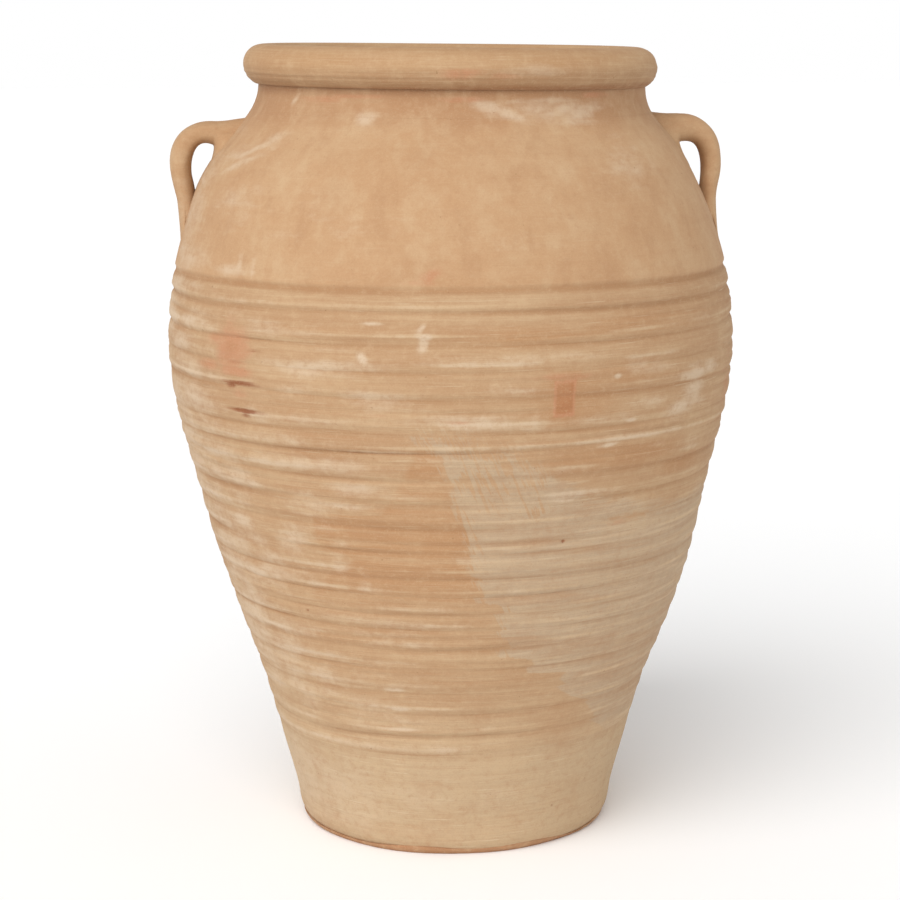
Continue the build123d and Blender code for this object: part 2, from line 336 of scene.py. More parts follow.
# What the surface carries. A spot is around, height, half width in degrees, half height and strength, and
# then its lean in degrees per 100 mm, where it has one.
marks = {
    "bloom": [
        (-72, 420, 24, 170, 0.8), (-74, 568, 15, 26, 0.95), (-79, 540, 13, 34, 1.0),
        (46, 690, 12, 26, 0.6), (-64, 250, 18, 130, 0.95), (-66, 60, 26, 60, 1.1), (-67, 517, 9, 16, 1.0),
        (-72, 453, 8, 10, 1.0), (-69, 425, 7, 9, 1.05), (-59, 412, 7, 7, 1.0), (-59, 392, 6, 7, 1.0),
        (-53, 345, 5, 10, 1.0), (-49, 327, 5, 8, 0.9), (-52, 292, 7, 8, 1.1), (-20, 250, 26, 30, 0.45),
        (-60, 465, 10, 90, 0.8), (-52, 395, 10, 45, 0.75), (-46, 300, 9, 26, 0.8), (-58, 350, 8, 60, 0.6),
        (-37, 338, 6, 24, 0.8), (-25, 318, 3, 22, 0.6), (-36, 300, 8, 18, 0.6), (-24, 509, 14, 10, 0.95),
        (-22, 530, 10, 7, 0.6), (-13, 480, 12, 10, 0.9), (-27, 420, 17, 14, 0.7), (-42, 415, 8, 12, 0.6),
        (-20, 395, 9, 8, 0.8), (-22, 377, 8, 5, 0.9), (-60, 540, 10, 22, 0.75), (-45, 560, 14, 8, 0.5),
        (55, 480, 5, 22, 1.1), (50, 457, 5, 15, 0.9), (61, 492, 4, 9, 0.9), (42, 470, 7, 9, 0.6),
        (41, 503, 7, 10, 0.7), (12, 452, 16, 11, 0.6), (2, 466, 14, 8, 0.75), (-12, 474, 9, 6, 0.8),
        (14, 430, 12, 9, 0.4), (28, 457, 14, 9, 0.5), (20, 407, 10, 7, 0.6), (26, 385, 16, 6, 0.55),
        (10, 520, 22, 7, 0.5), (12, 488, 6, 16, 0.55), (34, 440, 10, 5, 0.5), (45, 425, 8, 5, 0.5),
        (56, 420, 8, 9, 0.5), (24, 779, 9, 7, 1.0), (11, 746, 5, 8, 1.15, -40),
        (16, 740, 3.5, 10, 1.1, -40), (24, 744, 7, 7, 0.9), (31, 741, 6, 9, 1.0, 60),
        (40, 740, 8, 9, 1.0, 60), (25, 751, 16, 4, 0.9), (36, 731, 10, 5, 0.6),
        (-22.7, 735, 3.4, 7.5, 1.3), (-49, 752, 1.4, 6, 1.1, 20), (-54, 706, 3, 13, 0.9, 60),
        (-58, 690, 3.4, 14, 0.8, 60), (-49, 716, 4, 9, 0.7, 40), (-62, 700, 6, 16, 0.6, 40),
        (-75, 650, 11, 60, 0.8), (-70, 600, 14, 20, 0.8), (-40, 650, 7, 6, 0.5), (-34, 628, 8, 10, 0.5),
        (-52, 655, 11, 24, 0.55), (-48, 592, 7, 9, 0.8), (-46, 596, 1.0, 16, 0.9),
        (-42, 594, 0.8, 13, 0.8), (-20, 640, 12, 20, 0.35), (-30, 660, 5, 12, 0.6),
        (10, 625, 14, 14, 0.3), (-5, 535, 1.3, 9, 1.6, 6), (-5.4, 549, 0.8, 5, 1.2, 10),
        (-16.4, 521, 1.0, 6, 1.3, -10), (-14.6, 553, 2.4, 2.2, 1.3), (36.6, 454, 1.4, 2.2, 1.4),
        (32, 432, 2.2, 2.4, 1.3, 40), (-16, 184, 3.4, 2.6, 1.1), (-14.8, 163, 3, 2.6, 1.3),
        (-16, 140, 8, 3, 0.8), (32.6, 498, 1, 3.4, 1.3), (24, 380, 3, 1.4, 1.0),
        (-58, 402, 1.2, 8, 0.9, 10), (-29, 402, 0.8, 5, 0.9, 20), (-16, 432, 12, 2.4, 1.0),
        (-10, 118, 22, 7, 0.6), (-20, 300, 2, 14, 0.5), (-35, 262, 10, 6, 0.45), (-50, 210, 12, 80, 0.75),
        (-38, 190, 16, 50, 0.6), (-26, 160, 20, 30, 0.5), (-40, 240, 10, 20, 0.55),
        (-18, 205, 10, 16, 0.4), (-30, 372, 8, 24, 0.6), (-34, 450, 14, 24, 0.5), (-36, 545, 14, 14, 0.5),
        (-30, 485, 8, 10, 0.6), (-30, 118, 25, 9, 0.6), (-45, 60, 25, 50, 0.9), (-15, 70, 18, 30, 0.55),
        (14, 60, 12, 26, 0.45),
    ],
    "blush": [
        (-46, 522, 5.6, 26, 1.15), (-54, 502, 5, 7, 1.0), (-51, 528, 5, 8, 0.8), (-45, 500, 6, 7, 1.0),
        (3, 777, 8, 7, 0.85), (14, 774, 9, 5, 0.6), (-44, 478, 4, 8, 0.6), (-3.9, 596, 2.4, 9, 0.9, 20),
        (-6, 590, 5, 4, 0.7), (20, 502, 9, 5, 0.75), (21, 483, 3.6, 13, 0.45), (-40, 753, 12, 5, 0.8),
        (-26, 756, 12, 3, 0.9), (45, 755, 10, 4, 0.8), (3, 753, 8, 4, 0.9), (75, 470, 7, 46, 0.6),
        (-68, 400, 4, 60, 0.45), (38, 352, 5, 6, 0.55), (1, 462, 4, 3, 0.7), (-13, 468, 4, 3.4, 0.55, 20),
        (30, 366, 5, 5, 0.4), (-40, 430, 3, 40, 0.3),
    ],
    "warm": [
        (24, 480, 12, 30, 0.75), (36, 500, 14, 16, 0.7), (36, 420, 20, 16, 0.95), (55, 400, 12, 12, 0.75),
        (18, 540, 30, 12, 0.7), (40, 545, 24, 22, 0.7), (30, 640, 30, 30, 0.3), (-10, 690, 26, 40, 0.45),
        (-5, 590, 40, 10, 0.5), (-32, 460, 10, 10, 0.5), (-20, 545, 22, 8, 0.5), (40, 355, 14, 7, 0.75),
        (24, 374, 9, 5, 0.6), (-4, 200, 30, 40, 0.15), (32, 150, 22, 40, 0.5), (40, 60, 14, 30, 0.4),
    ],
    "scuff": [
        (25.3, 648, 1.6, 12, 0.42, -12), (21, 636, 2, 6, 0.3),
    ],
    "spotFade": 0.9,
    "spotMost": 1.3,
    "smear": (21.4, 481, 2.1, 17, 1.5),  # one red fingertip, square at its ends
    "smearEdge": (1.35, 0.65),
    "smearHalo": (2.6, 0.8, 0.85),  # warm clay round it: where it ends and is full, and how strong
    "nickHalo": (1.1, 1.2),
    "limeEdge": [  # where the brushed lime begins, stepping from ring to ring: height and around
        (117, 52), (120, 51), (133, 45.4), (156, 41.1), (168, 32.5), (190, 27.5), (198, 29.8), (201, 20),
        (217, 18.3), (221, 12), (245, 11.2), (277, 9.7), (281, 5.2), (305, 4), (309, 1.2), (333, 0.9),
        (349, 0.6), (352, -0.4), (366, -0.8), (371, -2.2), (403, -3.6), (407, -5), (428, -5.5), (432, -7),
        (452, -8),
    ],
    "limeTip": (14, 5),  # each ring's brush stroke slants away at its foot by the first, less the second
    "limeTop": [(-8, 462), (13, 440), (20, 415), (28, 388), (45, 372), (70, 366)],  # around and height
    "limeFoot": 112,
    "limeRight": 84,
    "limeSoftness": {"top": 0.35, "foot": 1.5, "right": 0.3},  # beside 1 at the brushed edge
    "limeRadius": 250,  # of the wall, for turning degrees into millimetres there
    "limeBehind": 168,  # around, of the same patch on the back
    "warmEdge": [  # and where the warm clay left of it begins
        (112, -70), (200, -52), (272, -37), (300, -31), (322, -22), (334, -31), (366, -31), (369, -15),
        (384, -13), (436, -6.5), (452, -5),
    ],
    "warmBlur": [(-1.5, 2.5), (6, 1)],  # degrees beyond its two edges where it comes in and goes out
    "warmTop": (456, 440),
    "warmRise": (230, 345, 0.1),  # below the first height it has only the last share
    "warmFoot": (90, 150),
}


def spread(spots, around, height):
    # soft oval spots, the strongest one at each point
    total = np.zeros(np.broadcast(around, height).shape)
    for at, high, halfAround, halfHeight, strength, *lean in spots:
        side = apart(around, at) - sum(lean) * (height - high) / 100
        far = (side / halfAround) ** 2 + ((height - high) / halfHeight) ** 2
        total = np.maximum(total, strength * np.exp(-far * marks["spotFade"]))
    return np.minimum(total, marks["spotMost"])


def backSpots(seed, count, strength):
    # the same kinds of mark on the side that is turned away
    random = np.random.default_rng(seed)
    spans = [(85, 275), (180, 545), (4, 15), (8, 34), (0.4, strength)]
    return [[random.uniform(*span) for span in spans] for _ in range(count)]


bloomSpots = marks["bloom"] + backSpots(seeds["backBloom"], 20, 0.9)
blushSpots = marks["blush"] + backSpots(seeds["backBlush"], 5, 0.6)
warmSpots = marks["warm"] + backSpots(seeds["backWarm"], 8, 0.8)
nickSpots = [
    (at, high, half * marks["nickHalo"][0], tall * marks["nickHalo"][1], redness)
    for at, high, half, tall, _, redness in nicks
]


def limeField(around, height):
    # how far inside the brushed lime a point is, in millimetres
    heights = np.array(rings["heights"], float)
    index = np.clip(np.searchsorted(heights, height) - 1, 0, len(heights) - 2)
    upRing = np.clip((height - heights[index]) / (heights[index + 1] - heights[index]), 0, 1)
    slant, start = marks["limeTip"]
    soft = marks["limeSoftness"]
    edge = np.interp(height, *zip(*marks["limeEdge"]))
    perDegree = math.radians(1) * marks["limeRadius"]
    fromEdge = (around - edge) * perDegree - (slant * (1 - upRing) - start)
    fromTop = (np.interp(around, *zip(*marks["limeTop"])) - height) * soft["top"]
    fromFoot = (height - marks["limeFoot"]) * soft["foot"]
    fromRight = (marks["limeRight"] - around) * perDegree * soft["right"]
    return np.minimum(np.minimum(fromEdge, fromTop), np.minimum(fromFoot, fromRight))


def warmField(around, height):
    # the wedge of warm clay that the lime never covered
    left = around - np.interp(height, *zip(*marks["warmEdge"]))
    right = around - np.interp(height, *zip(*marks["limeEdge"]))
    within = smoothStep(*marks["warmBlur"][0], left) * smoothStep(*marks["warmBlur"][1], right)
    low, high, least = marks["warmRise"]
    rise = least + (1 - least) * smoothStep(low, high, height)
    return within * rise * smoothStep(*marks["warmTop"], height) * smoothStep(*marks["warmFoot"], height)


def surfaceMarks(angle, height, ringTintAndShading):
    # two triples for each point: bloom, blush and warm clay, then ring depth as painted shade and highlight,
    # brushed lime and scuffs
    around = aroundOf(angle)
    at, high, halfAround, halfHeight, strength = marks["smear"]
    square = np.maximum(np.abs(apart(around, at)) / halfAround, np.abs(height - high) / halfHeight)
    haloEnd, haloFull, haloStrength = marks["smearHalo"]
    bloom = spread(bloomSpots, around, height)
    fingertip = strength * smoothStep(*marks["smearEdge"], square)
    blush = np.maximum(spread(blushSpots, around, height), fingertip)
    warm = np.maximum(spread(warmSpots, around, height), warmField(around, height))
    warm = np.maximum(warm, haloStrength * smoothStep(haloEnd, haloFull, square))
    lime = np.maximum(limeField(around, height), limeField(apart(marks["limeBehind"], around), height))
    scuff = np.maximum(spread(marks["scuff"], around, height), spread(nickSpots, around, height))
    return np.stack([bloom, blush, warm], axis=-1), np.stack([ringTintAndShading, lime, scuff], axis=-1)


def buildMesh(name, grid, ringTintAndShading=0.0, closedRows=True):
    # a grid of points, rows by columns, closed round its columns and, for a ring, round its rows too
    rows, columns = grid.shape[:2]
    flat = grid.reshape(-1, 3)
    row = np.arange(rows if closedRows else rows - 1)[:, None]
    column = np.arange(columns)[None, :]
    nextRow, nextColumn = (row + 1) % rows, (column + 1) % columns
    quads = np.stack([
        row * columns + column,
        row * columns + nextColumn,
        nextRow * columns + nextColumn,
        nextRow * columns + column,
    ], axis=-1).reshape(-1, 4)
    faces = quads.tolist()
    if not closedRows:
        faces.append(list(range(columns))[::-1])
        faces.append([(rows - 1) * columns + i for i in range(columns)])
    mesh = bpy.data.meshes.new(name)
    mesh.from_pydata((flat * toMetres).tolist(), [], faces)
    mesh.validate()
    mesh.shade_smooth()
    mesh.set_sharp_from_angle(angle=math.radians(48))
    angle = np.arctan2(flat[:, 0], -flat[:, 1])
    ringTintAndShading = np.broadcast_to(ringTintAndShading, grid.shape[:2]).reshape(-1)
    carried = surfaceMarks(angle, flat[:, 2], ringTintAndShading)
    # the second attribute carries the rings' painted shade and highlight, then brushed lime and scuffs
    for label, values in zip(("claySpots", "clayTouchAndShading"), carried):
        attribute = mesh.attributes.new(label, "FLOAT_VECTOR", "POINT")
        attribute.data.foreach_set("vector", values.astype(np.float32).reshape(-1))
    piece = bpy.data.objects.new(name, mesh)
    bpy.context.scene.collection.objects.link(piece)
    return piece


turn = np.linspace(0, 2 * math.pi, jarShape["segments"], endpoint=False)[None, :]


def level(height):
    return np.full(turn.shape, float(height))


def jointAt(height):
    return ringHeight(rings["heights"].index(height), turn)


def between(low, high, step):
    # rows from one boundary up to another, each boundary a height at every angle
    count = max(2, int(round(float(np.mean(high - low)) / step)))
    share = np.linspace(0, 1, count + 1)[:, None]
    return low + (high - low) * share


def insideOf(joint):
    # a scarf joint reaches the inside higher than it shows outside
    thickness = np.interp(float(np.mean(joint)), wallHeights, wallThicknesses)
    return joint + thickness * jarShape["scarfRise"]


def wallRing(name, lowJoint, highJoint, highLip=None, lowFloor=None):
    # one thrown section: its outside going up, then its inside coming down
    outsideRows = between(lowJoint, highJoint, jarShape["rowHeight"])
    radius, height, ringTintAndShading = outsidePoint(turn, outsideRows)
    insideHigh = insideOf(highJoint) if highLip is None else highLip
    insideLow = insideOf(lowJoint) if lowFloor is None else lowFloor
    insideRows = between(insideLow, insideHigh, jarShape["insideRowHeight"])[::-1]
    insideRadius, insideHeight = insidePoint(turn, insideRows)
    grid = np.concatenate([cylindrical(radius, turn, height), cylindrical(insideRadius, turn, insideHeight)])
    return buildMesh(name, grid, np.concatenate([ringTintAndShading, np.zeros(insideRows.shape)]))


rimRoll = {
    "centreRadius": 188.5,
    "rollRadius": 20.5,
    "swell": 0.8,
    "outOfRound": 0.7,
    "lines": 0.22,
    "wave": 0.6,
    "flattened": (0.35, 9),  # the lower half, by a finger: how much, and how far from the middle it is full
    "shift": 1.2,  # towards the right handle
    "creaseHeight": 762,
    "creaseReach": 9,  # how far out from the roll's middle the crease lies
    "mouthRadius": 171.3,
    "throatHeight": 766,
    "throatDrop": 3,
    "ridge": (183, 773),  # radius and height of the collar's ridge under the roll
    "edgeRadius": 12,
    "rows": (44, 14, 6),  # round the roll, over the mouth's edge and down the throat
}


def rimGrid():
    # the fat coil: round outside, flattened a little on top, and a softer edge into the mouth
    rollRows, edgeRows, throatRows = rimRoll["rows"]
    centreHeight = rimTop - rimRoll["rollRadius"]
    under = math.atan2(rimRoll["creaseHeight"] - centreHeight, rimRoll["creaseReach"])
    sweep = np.linspace(under, math.pi / 2, rollRows)[:, None]
    inner = np.linspace(math.pi / 2, math.pi, edgeRows)[:, None]
    edgeCentre = rimRoll["mouthRadius"] + rimRoll["edgeRadius"]
    throatTop = rimTop - rimRoll["edgeRadius"] - rimRoll["throatDrop"]
    throat = np.linspace(throatTop, rimRoll["throatHeight"], throatRows)[:, None]
    ridgeRadius, ridgeHeight = rimRoll["ridge"]
    radius = np.concatenate([
        rimRoll["centreRadius"] + rimRoll["rollRadius"] * np.cos(sweep),
        edgeCentre + rimRoll["edgeRadius"] * np.cos(inner),
        np.full(throat.shape, rimRoll["mouthRadius"]),
        [[ridgeRadius]],
    ])
    height = np.concatenate([
        centreHeight + rimRoll["rollRadius"] * np.sin(sweep),
        rimTop + rimRoll["edgeRadius"] * (np.sin(inner) - 1),
        throat,
        [[ridgeHeight]],
    ])
    swell = rimRoll["outOfRound"] * drift(turn, height, seeds["rimSwell"], aroundMost=3, shortest=200)
    lines = drift(turn, radius + height, seeds["rimLines"], waves=12, aroundMost=1, shortest=5, longest=14)
    flattened, reach = rimRoll["flattened"]
    lower = smoothStep(centreHeight + reach, centreHeight - reach, height)
    outward = (radius - rimRoll["centreRadius"]) / rimRoll["rollRadius"]
    side = np.sign(outward) * np.minimum(np.abs(outward) * 2, 1)
    radius = radius + (swell + rimRoll["lines"] * lines + rimRoll["swell"] - flattened * lower) * side
    radius = radius + rimRoll["shift"] * np.sin(turn - frontAngle)
    wave = rimRoll["wave"] * drift(turn, 0, seeds["rimRise"], aroundMost=3)
    height = height + leanAt(turn, np.full(height.shape, rimTop), radius) + wave
    return cylindrical(radius, turn, height)


floorSlab = {
    "ledge": 6.5,
    "ledgeWander": 1.7,
    "edgeRound": 6.5,
    "edgeWander": 0.7,
    "edgeRows": [0, 0.05, 0.15, 0.32, 0.55, 0.8, 1],  # shares of the way up to the ledge
    "top": 26,
    "topRadii": [110, 80, 50, 30, 18],
    "topWaves": (0.9, 0.4),
    "drainRadius": 15,
    "drainWander": 0.6,
    "drainEdges": (2.5, 1.5, 2),  # how far it is rounded over at the top, and up and out at the bottom
    "dishRadii": [45, 80, 118],
    "dishRise": 3,
    "dishWander": 0.3,
    "dishSlope": 6,
    "contactRadius": 153,
}


def ledgeAt():
    # the uneven line where the wall was thumbed down on to the floor slab
    return floorSlab["ledge"] + floorSlab["ledgeWander"] * drift(turn, 0, seeds["ledge"], aroundMost=9)


def floorGrid():
    # from the outer edge over the ledge and the top to the drain hole, then back under the dish
    top, rise = floorSlab["top"], floorSlab["dishRise"]
    foot = insidePoint(turn, np.full((1, 1), float(top)))[0]
    edgeRise = ledgeAt() * np.array(floorSlab["edgeRows"])[:, None]
    tuck = floorSlab["edgeRound"] * (1 - smoothStep(-3, floorSlab["ledge"], edgeRise)) ** 1.5
    wander = floorSlab["edgeWander"] * drift(turn, 0, seeds["floorEdge"], aroundMost=9)
    rows = [(footRadius - tuck + wander, edgeRise), (foot, ledgeAt()), (foot, level(top))]
    dome, bumps = floorSlab["topWaves"]
    for radius in floorSlab["topRadii"]:
        bump = bumps * drift(turn, radius, seeds["floorTop"], shortest=60)
        rows.append((radius, top + dome * np.cos(radius / 5) + bump))
    wobble = drift(turn, 0, seeds["drain"], aroundMost=5)
    drain = floorSlab["drainRadius"] + floorSlab["drainWander"] * wobble
    over, up, out = floorSlab["drainEdges"]
    rows += [(drain, level(top - over)), (drain, level(rise + up)), (drain + out, level(rise))]
    for radius in floorSlab["dishRadii"]:
        bump = floorSlab["dishWander"] * drift(turn, radius, seeds["dish"], shortest=60)
        rows.append((radius, rise + bump))
    rows.append((floorSlab["dishRadii"][-1] + floorSlab["dishSlope"], level(0)))
    rows.append((floorSlab["contactRadius"], level(0)))
    return np.concatenate([cylindrical(radius, turn, height) for radius, height in rows])


print("walls")
walls = {
    "footWall": wallRing("footWall", ledgeAt(), jointAt(113), lowFloor=level(floorSlab["top"])),
    "lowerBellyWall": wallRing("lowerBellyWall", jointAt(113), jointAt(287)),
    "middleBellyWall": wallRing("middleBellyWall", jointAt(287), jointAt(430)),
    "upperBellyWall": wallRing("upperBellyWall", jointAt(430), jointAt(581)),
    "shoulderWall": wallRing("shoulderWall", jointAt(581), level(736)),
    "neckCollar": wallRing("neckCollar", level(736), level(763.5), highLip=level(rimRoll["throatHeight"])),
}
walls["rimRoll"] = buildMesh("rimRoll", rimGrid())
walls["floorDisc"] = buildMesh("floorDisc", floorGrid())

handle = {
    "line": [  # the strap's middle, as distance from the axis and height
        (206, 714), (228, 715.5), (247, 716), (262, 708), (270.5, 690), (269.5, 668), (266, 646),
        (264.5, 625), (263, 606),
    ],
    "halfWidth": [(0, 25), (0.12, 20.5), (0.3, 19), (0.6, 18), (0.8, 18.5), (1, 20)],  # by share of the way
    "halfThickness": [
        (0, 20), (0.1, 16.5), (0.2, 13), (0.32, 11.4), (0.45, 10.9), (0.6, 9.8), (0.8, 8.5), (1, 6),
    ],
    "squareness": 0.86,  # a little squarer than an oval
    "archAt": (0.25, 0.12),  # the share where the strap arches most, and how far that reaches
    "least": 6,  # how deep in the wall its roots may run
    "bumps": (0.45, 0.35),
    "rows": 110,
    "columns": 48,
    "sides": {
        # How each one differs from the line at its arch and at its low end, and how thick it was pulled. For
        # each root: the height of its ring on the wall, the ring's reach up and down from there, and the
        # share of the strap where its pad begins.
        "left": {
            "lift": 1.5, "rootLift": -4, "out": 2, "low": 2, "thick": 1.06, "arch": 0.84,
            "upper": (706, 24, 36, 0.2), "lower": (620, 14, 14, 0.74),
        },
        "right": {
            "lift": 0.5, "rootLift": 0, "out": -2.5, "low": 1.5, "thick": 0.96, "arch": 1.16,
            "upper": (708, 24, 34, 0.18), "lower": (612, 14, 14, 0.77),
        },
    },
    "roots": {
        # half width of the ring on the wall, and how far the blend follows the strap and the wall
        "upper": {"halfWidth": 31, "along": 5, "over": 6},
        "lower": {"halfWidth": 21, "along": 4, "over": 4},
    },
    "padRows": 26,
    "padRagged": 0.07,
    "padUnder": [(1.06, 0.9), (0.9, 4.0), (0.35, 5.0)],  # past the ring: its share, and depth in the wall
}


def resampled(points, count):
    # evenly spaced points on a smooth curve through the given ones
    points = np.array(points, float)
    length = np.concatenate([[0], np.cumsum(np.linalg.norm(np.diff(points, axis=0), axis=1))])
    curves = [curveThrough(list(zip(length, points[:, i]))) for i in range(points.shape[1])]
    share = np.linspace(0, length[-1], count)
    return np.stack([curve(share) for curve in curves], axis=-1)


def strapPath(own):
    line = [
        (
            x + float(np.interp(i, (0, 1.5, 4, 7), (0, own["out"], own["out"], own["low"]))),
            z + float(np.interp(i, (0, 2.5), (own["rootLift"], own["lift"]))),
        )
        for i, (x, z) in enumerate(handle["line"])
    ]
    return resampled(line, handle["rows"])


def strapRing(path, share, own, scale=1.0):
    # one oval across the strap in the XZ plane of the +X side: points and the direction of travel
    at = share * (len(path) - 1)
    low = min(int(at), len(path) - 2)
    centre = path[low] + (path[low + 1] - path[low]) * (at - low)
    ahead = path[min(low + 2, len(path) - 1)] - path[max(low - 1, 0)]
    ahead = ahead / np.linalg.norm(ahead)
    outward = np.array([-ahead[1], ahead[0]])
    archAt, archReach = handle["archAt"]
    arch = 1 + (own["arch"] - 1) * bell((share - archAt) / archReach)
    halfWidth = np.interp(share, *zip(*handle["halfWidth"])) * scale
    halfThickness = np.interp(share, *zip(*handle["halfThickness"])) * own["thick"] * arch * scale
    sweep = np.linspace(0, 2 * math.pi, handle["columns"], endpoint=False)
    across = np.sign(np.cos(sweep)) * np.abs(np.cos(sweep)) ** handle["squareness"] * halfWidth
    up = np.sign(np.sin(sweep)) * np.abs(np.sin(sweep)) ** handle["squareness"] * halfThickness
    points = np.stack([centre[0] + outward[0] * up, across, centre[1] + outward[1] * up], axis=-1)
    return points, np.array([ahead[0], 0, ahead[1]])


def handMade(points):
    # pulled clay is never quite even
    x, y, z = points[..., 0], points[..., 1], points[..., 2]
    bump = drift(z / 18, y * 6 + x * 3, seeds["strap"], waves=7, aroundMost=3, shortest=120, longest=400)
    out, side = handle["bumps"]
    return points + np.stack([out * bump, side * np.roll(bump, 5, axis=-1), 0 * z], axis=-1)


def wallPoint(y, z, sink):
    # the +X side of the wall at a place across and up, set back by sink
    radius = outsideRadius(z) - sink
    return np.stack([np.sqrt(np.maximum(radius**2 - y**2, 1)), y, z], axis=-1)


def strapGrid(path, own):
    # the strap, kept from reaching through the wall where its roots run in
    rows = [strapRing(path, share, own)[0] for share in np.linspace(0, 1, handle["rows"])]
    grid = handMade(np.stack(rows))
    radius = np.hypot(grid[..., 0], grid[..., 1])
    push = np.maximum((outsideRadius(grid[..., 2]) - handle["least"]) / radius, 1)
    grid[..., 0] *= push
    grid[..., 1] *= push
    return grid


def padGrid(path, own, root):
    # clay thumbed from the strap out on to the wall, in a skirt that is smooth at both edges
    place = handle["roots"][root]
    middle, reachUp, reachDown, cut = own[root]
    ring, ahead = strapRing(path, cut, own, 1.004)
    inner, _ = strapRing(path, cut, own, 0.9)
    inward = -ahead if root == "upper" else ahead
    sweep = np.linspace(0, 2 * math.pi, handle["columns"], endpoint=False)
    ragged = 1 + handle["padRagged"] * drift(sweep, 0, seeds[root + "Pad"], aroundMost=5)
    acrossWall = place["halfWidth"] * ragged * np.cos(sweep)
    upWall = (1 if root == "upper" else -1) * ragged * np.sin(sweep)
    upWall = upWall * np.where(upWall > 0, reachUp, reachDown)

    def onWall(share, sink=0.0):
        return wallPoint(acrossWall * share, middle + upWall * share, sink)

    wall = onWall(1)
    wallOut = wall - onWall(0.75)
    wallOut = wallOut / np.linalg.norm(wallOut, axis=-1, keepdims=True)
    first = ring + inward * place["along"]
    second = wall - wallOut * place["over"]
    blend = [
        (1 - t) ** 3 * ring + 3 * t * (1 - t) ** 2 * first + 3 * t * t * (1 - t) * second + t**3 * wall
        for t in np.linspace(0, 1, handle["padRows"])
    ]
    return np.stack([inner, *blend, *(onWall(share, sink) for share, sink in handle["padUnder"])])


def onSide(grid, side):
    # the left handle is the right one turned half way round
    return grid * np.array([-1, -1, 1]) if side == "left" else grid


print("handles")
handles = {}
for side, own in handle["sides"].items():
    path = strapPath(own)
    grid = onSide(strapGrid(path, own), side)
    handles[side] = {"strap": buildMesh(f"{side}Handle", grid, closedRows=False)}
    for root in handle["roots"]:
        grid = onSide(padGrid(path, own, root), side)
        handles[side][root] = buildMesh(f"{side}{root.title()}LutingPad", grid)


def toLinear(hexColour):
    parts = [int(hexColour[i:i + 2], 16) / 255 for i in (1, 3, 5)]
    return tuple(p / 12.92 if p <= 0.04045 else ((p + 0.055) / 1.055) ** 2.4 for p in parts) + (1,)


def addNode(tree, kind, settings=None, inputs=None):
    # adds a node with its settings and links, and gives its outputs
    node = tree.nodes.new("ShaderNode" + kind)
    for name, value in (settings or {}).items():
        setattr(node, name, value)
    for name, value in (inputs or {}).items():
        if isinstance(value, bpy.types.NodeSocket):
            tree.links.new(value, node.inputs[name])
        else:
            node.inputs[name].default_value = value
    return node.outputs


clay = {  # low-fired earthenware, unglazed, with lime that water carried to the surface as it dried
    "wiped": "#B7916C",
    "thrown": "#B2906D",
    "scraped": "#B9A080",
    "rolled": "#B08B65",
    "pulled": "#B48E69",
    "cut": "#A87A58",
    "pale": "#C3A683",
    # deep is also the painted shade on the neck under the rim
    "deep": "#A67D5A",
    "warm": "#AD835D",
    # the rings' hollows: partly their own darker clay, partly painted shade
    "ring": "#976C47",
    "bloom": "#CBB59B",
    "lime": "#B19A7F",
    "blush": "#B57F5E",
    "smear": "#A26D46",
    "scuff": "#83492A",
    # painted shade: on the rim's lower half, and in the crease under it
    "shade": "#98785A",
    "creaseShade": "#8C6041",
    "fleck": "#D0BFA3",
    "pore": "#86623F",
}

# Noise scales in cycles per metre along X, Y and Z, then detail and roughness. A finger's ridge is 23 mm and
# a wipe line about 1 mm. The hatch runs along and across the brush's own direction.
patterns = {
    "band": ((5, 5, 48), 4, 0.62),
    "streak": ((7, 7, 150), 4, 0.6),
    "fine": ((16, 16, 820), 2, 0.6),
    "scratch": ((22, 22, 900), 1, 0.5),
    "cloud": ((9, 9, 14), 4, 0.6),
    "blotch": ((26, 26, 62), 5, 0.65),
    "wipe": ((42, 42, 20), 5, 0.6),
    "mottle": ((120, 120, 150), 4, 0.7),
    "grain": ((620, 620, 620), 2, 0.7),
    "pit": ((230, 230, 230), 1, 0.5),
    "hatch": ((34, 270, 1), 2, 0.5),
}

# The brush that laid the lime on, in metres round the front of the wall and up it.
brush = {
    "slope": 66,  # degrees
    "radius": 0.27,
    "rightEnd": (0.085, 0.055),
    "leftEnd": (-0.06, -0.03),
    "sway": 45,  # millimetres that its bristles stray
    "bloom": 0.01,
    "bareFrom": (0.49, 0.6),  # bare lines between the bristles, in cycles of the hatch
    "bareness": 1.1,
    "bareReach": (46, 14),  # millimetres in from the lime's edge
    "bareAbove": (0.29, 0.35),
    "edge": (0.0, 5.0),  # millimetres over which the lime comes in
}
times = {"operation": "MULTIPLY"}
plus = {"operation": "ADD"}
minus = {"operation": "SUBTRACT"}
timesPlus = {"operation": "MULTIPLY_ADD"}
smooth = {"interpolation_type": "SMOOTHSTEP"}


